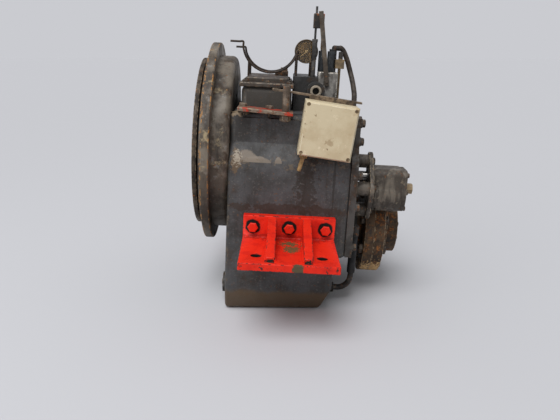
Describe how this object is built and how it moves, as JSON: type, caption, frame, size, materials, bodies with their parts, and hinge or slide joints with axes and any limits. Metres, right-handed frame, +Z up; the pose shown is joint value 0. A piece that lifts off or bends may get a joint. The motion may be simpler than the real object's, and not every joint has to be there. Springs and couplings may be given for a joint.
{
  "type": "marine gearbox",
  "caption": "Marine reverse-reduction gearbox with a bell housing and elastic coupling, side brackets, oil pump, control valves, gauge, junction box and bolted output flanges.",
  "frame": {"origin": "centre of the engine flange's mounting face", "axes": "+X along the input shaft towards the output, +Z up, -Y the junction box side"},
  "size_m": [0.5844, 0.91, 0.8074],
  "materials": {
    "case_paint": "worn dark paint",
    "bell_iron": "worn and stained",
    "cover_iron": "worn dark paint",
    "bracket_red": "chipped paint",
    "bolt_red": "chipped paint",
    "rusty_steel": "rusted",
    "bolt_steel": "stained",
    "machined_steel": "machined",
    "bearing_steel": "ground",
    "box_enamel": "aged enamel",
    "brass": "dull",
    "valve_iron": "oily",
    "valve_alloy": "stained",
    "solenoid_black": "matt",
    "rubber": "matt",
    "hose_brown": "dusty",
    "pump_iron": "stained",
    "gauge_bronze": "aged",
    "pointer_white": "painted",
    "friction_lining": "matt"
  },
  "bodies": {
    "housing": {"bell_housing": "bell_iron", "main_case": "case_paint", "rear_cover": "cover_iron", "top_cover": "cover_iron", "cover_bolts": "bolt_steel", "filler_cap": "rusty_steel", "mount_bracket_near": "bracket_red", "mount_bracket_far": "bracket_red", "bracket_bolts": "bolt_red", "strainer_cover": "cover_iron", "drain_plug": "bolt_steel", "cooler_cradle": "rusty_steel", "support_bar": "rusty_steel", "support_post": "rusty_steel", "support_fasteners": "bolt_steel", "box_strip": "rusty_steel", "junction_box": "box_enamel", "junction_box_lid": "box_enamel", "junction_box_screws": "bolt_steel", "cable_gland": "brass", "valve_block": "valve_iron", "valve_body": "valve_alloy", "solenoids": "solenoid_black", "pressure_switch": "brass", "cable_bracket": "bolt_steel", "cable_anchor": "valve_iron", "gauge_case": "gauge_bronze", "gauge_pipe": "rusty_steel", "supply_hose": "hose_brown", "return_hose": "rubber", "hose_fittings": "bolt_steel", "front_bearings": "bearing_steel", "rear_bearings": "bearing_steel", "shaft_seals": "rubber", "pump_plate": "pump_iron", "pump_standoffs": "pump_iron", "pump_body": "pump_iron", "pump_cover": "pump_iron", "pump_bolts": "bolt_steel"},
    "input_train": {"input_shaft": "machined_steel", "coupling_hub": "bell_iron", "coupling_rubber": "rubber", "coupling_ring": "rusty_steel", "forward_drum": "machined_steel", "forward_clutch_pack": "friction_lining"},
    "counter_train": {"counter_shaft": "machined_steel", "reverse_drum": "machined_steel", "reverse_clutch_pack": "friction_lining"},
    "output_train": {"output_shaft": "machined_steel", "output_gear": "machined_steel", "output_flange": "rusty_steel", "companion_flange": "rusty_steel", "flange_bolts": "bolt_steel"},
    "forward_pinion": {"forward_pinion": "machined_steel"},
    "reverse_pinion": {"reverse_pinion": "machined_steel"},
    "forward_piston": {"forward_piston": "machined_steel"},
    "reverse_piston": {"reverse_piston": "machined_steel"},
    "pump_driven_gear": {"pump_driven_gear": "machined_steel"},
    "selector_spool": {"selector_spool": "machined_steel"},
    "gauge_pointer": {"gauge_pointer": "pointer_white"}
  },
  "joints": [
    {"name": "input_spin", "type": "hinge", "parent": "housing", "child": "input_train", "pos_m": [0, 0, 0], "axis": [1, 0, 0], "continuous": true},
    {"name": "counter_spin", "type": "hinge", "parent": "housing", "child": "counter_train", "pos_m": [0, -0.14142, -0.05], "axis": [1, 0, 0], "continuous": true},
    {"name": "output_spin", "type": "hinge", "parent": "housing", "child": "output_train", "pos_m": [0, 0, -0.225], "axis": [1, 0, 0], "continuous": true},
    {"name": "forward_pinion_spin", "type": "hinge", "parent": "housing", "child": "forward_pinion", "pos_m": [0, 0, 0], "axis": [1, 0, 0], "continuous": true},
    {"name": "reverse_pinion_spin", "type": "hinge", "parent": "housing", "child": "reverse_pinion", "pos_m": [0, -0.14142, -0.05], "axis": [1, 0, 0], "continuous": true},
    {"name": "pump_driven_spin", "type": "hinge", "parent": "housing", "child": "pump_driven_gear", "pos_m": [0, -0.14142, -0.085], "axis": [1, 0, 0], "continuous": true},
    {"name": "forward_engage", "type": "slide", "parent": "input_train", "child": "forward_piston", "axis": [1, 0, 0], "range_m": [0, 0.003], "stiffness_N_per_m": 20000},
    {"name": "reverse_engage", "type": "slide", "parent": "counter_train", "child": "reverse_piston", "axis": [1, 0, 0], "range_m": [0, 0.003], "stiffness_N_per_m": 20000},
    {"name": "selector_slide", "type": "slide", "parent": "housing", "child": "selector_spool", "axis": [0, 0, 1], "range_m": [-0.01, 0.01]},
    {"name": "gauge_turn", "type": "hinge", "parent": "housing", "child": "gauge_pointer", "pos_m": [0.2545, -0.062, 0.265], "axis": [0, 1, 0], "range_deg": [0, 270], "stiffness_Nm_per_rad": 0.0005}
  ],
  "couplings": [
    {"joint": "counter_spin", "follows": "input_spin", "ratio": -1},
    {"joint": "pump_driven_spin", "follows": "input_spin", "ratio": 1},
    {"joint": "forward_pinion_spin", "follows": "output_spin", "ratio": -2.4615},
    {"joint": "reverse_pinion_spin", "follows": "output_spin", "ratio": -2.4615}
  ]
}
